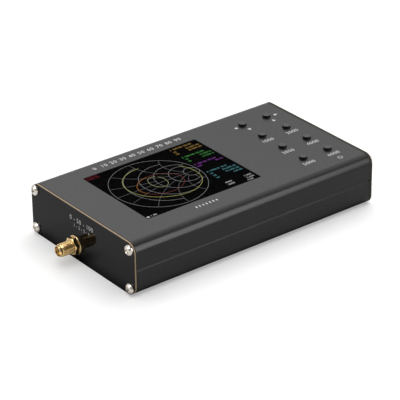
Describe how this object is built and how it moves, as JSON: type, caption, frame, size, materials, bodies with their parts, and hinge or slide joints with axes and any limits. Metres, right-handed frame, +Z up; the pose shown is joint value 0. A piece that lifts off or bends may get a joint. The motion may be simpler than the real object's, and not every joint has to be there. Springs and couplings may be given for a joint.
{
  "type": "handheld vector network analyzer",
  "caption": "Slim handheld vector network analyzer: extruded aluminium case with laminate end plates, flush colour display, round push buttons and a threaded coaxial test port.",
  "frame": {"origin": "middle of the flat base of the case", "axes": "+X from the test port end to the charging end, +Y away from the user, +Z up out of the face"},
  "size_m": [0.1542, 0.081, 0.0277],
  "materials": {
    "anodised_case": "black anodised extrusion, fine satin",
    "plate_laminate": "black solder-masked laminate with a bare tan edge",
    "screw_nickel": "bright nickel plated steel",
    "window_clear": "clear coated pane",
    "display_face": "black display glass",
    "backlight_white": "white moulded frame",
    "foam_black": "black foam",
    "ribbon_film": "amber film",
    "connector_plastic": "natural nylon",
    "board_laminate": "green solder-masked laminate",
    "chip_black": "moulded chip resin",
    "switch_plastic": "black moulded resin",
    "spring_steel": "stamped spring steel",
    "shield_tin": "tin plated sheet",
    "contact_gold": "gold plated brass",
    "insulator_white": "white fluoropolymer",
    "battery_pouch": "silver pouch film",
    "lead_red": "red wire sleeve",
    "lead_black": "black wire sleeve",
    "button_black": "black satin cap"
  },
  "bodies": {
    "housing": {"top_shell": "anodised_case", "bottom_shell": "anodised_case", "front_end_plate": "plate_laminate", "rear_end_plate": "plate_laminate", "front_plate_screws": "screw_nickel", "rear_plate_screws": "screw_nickel", "display_window": "window_clear", "display_glass": "display_face", "backlight_frame": "backlight_white", "display_gasket": "foam_black", "display_pads": "foam_black", "battery_pad": "foam_black", "display_ribbon": "ribbon_film", "ribbon_socket": "connector_plastic", "battery_plug": "connector_plastic", "battery_socket": "connector_plastic", "control_board": "board_laminate", "radio_board": "board_laminate", "processor": "chip_black", "radio_chips": "chip_black", "charge_tongue": "chip_black", "switch_bases": "switch_plastic", "link_header": "switch_plastic", "link_socket": "switch_plastic", "switch_covers": "spring_steel", "switch_domes": "spring_steel", "shield_frame": "shield_tin", "shield_lid": "shield_tin", "charge_socket": "shield_tin", "port_body": "contact_gold", "port_contact": "contact_gold", "port_washer": "contact_gold", "port_nut": "contact_gold", "link_pins": "contact_gold", "port_insulator": "insulator_white", "battery_cell": "battery_pouch", "battery_lead_positive": "lead_red", "battery_lead_negative": "lead_black"},
    "key_1": {"button_1": "button_black", "plunger_1": "switch_plastic"},
    "key_2": {"button_2": "button_black", "plunger_2": "switch_plastic"},
    "key_3": {"button_3": "button_black", "plunger_3": "switch_plastic"},
    "key_4": {"button_4": "button_black", "plunger_4": "switch_plastic"},
    "key_5": {"button_5": "button_black", "plunger_5": "switch_plastic"},
    "key_6": {"button_6": "button_black", "plunger_6": "switch_plastic"},
    "key_7": {"button_7": "button_black", "plunger_7": "switch_plastic"},
    "key_8": {"button_8": "button_black", "plunger_8": "switch_plastic"}
  },
  "joints": [
    {"name": "key_1_press", "type": "slide", "parent": "housing", "child": "key_1", "axis": [0, 0, -1], "range_m": [0, 0.00025], "stiffness_N_per_m": 3000, "springref_m": -0.0003},
    {"name": "key_2_press", "type": "slide", "parent": "housing", "child": "key_2", "axis": [0, 0, -1], "range_m": [0, 0.00025], "stiffness_N_per_m": 3000, "springref_m": -0.0003},
    {"name": "key_3_press", "type": "slide", "parent": "housing", "child": "key_3", "axis": [0, 0, -1], "range_m": [0, 0.00025], "stiffness_N_per_m": 3000, "springref_m": -0.0003},
    {"name": "key_4_press", "type": "slide", "parent": "housing", "child": "key_4", "axis": [0, 0, -1], "range_m": [0, 0.00025], "stiffness_N_per_m": 3000, "springref_m": -0.0003},
    {"name": "key_5_press", "type": "slide", "parent": "housing", "child": "key_5", "axis": [0, 0, -1], "range_m": [0, 0.00025], "stiffness_N_per_m": 3000, "springref_m": -0.0003},
    {"name": "key_6_press", "type": "slide", "parent": "housing", "child": "key_6", "axis": [0, 0, -1], "range_m": [0, 0.00025], "stiffness_N_per_m": 3000, "springref_m": -0.0003},
    {"name": "key_7_press", "type": "slide", "parent": "housing", "child": "key_7", "axis": [0, 0, -1], "range_m": [0, 0.00025], "stiffness_N_per_m": 3000, "springref_m": -0.0003},
    {"name": "key_8_press", "type": "slide", "parent": "housing", "child": "key_8", "axis": [0, 0, -1], "range_m": [0, 0.00025], "stiffness_N_per_m": 3000, "springref_m": -0.0003}
  ]
}
